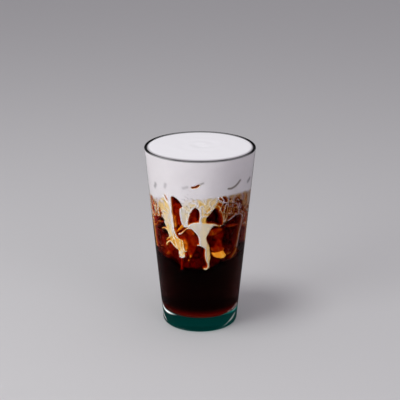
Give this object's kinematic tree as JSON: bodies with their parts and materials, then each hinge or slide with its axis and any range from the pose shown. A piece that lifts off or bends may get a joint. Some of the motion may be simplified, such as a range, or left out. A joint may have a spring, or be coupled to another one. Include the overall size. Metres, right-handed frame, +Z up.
{
  "type": "cold brew coffee with cold foam in a pint glass",
  "caption": "Iced cold brew coffee in a tapered clear glass, with a thick layer of cold foam that streams down into the dark drink.",
  "frame": {"origin": "middle of the glass's foot, on the surface that it stands on", "axes": "+Z up along the glass's axis, -Y towards the viewer, +X to the viewer's right"},
  "size_m": [0.0888, 0.0888, 0.1492],
  "materials": {
    "glass": "clear, polished, faint green tint in the thick foot",
    "coffee": "clear dark brown liquid, amber and red where it is thin",
    "cold_foam": "soft, fine-bubbled milk foam",
    "ice": "rounded cubes, clear with a cloudy core"
  },
  "bodies": {
    "root": {"glass": "glass", "coffee": "coffee", "cold_foam": "cold_foam"}
  },
  "joints": []
}
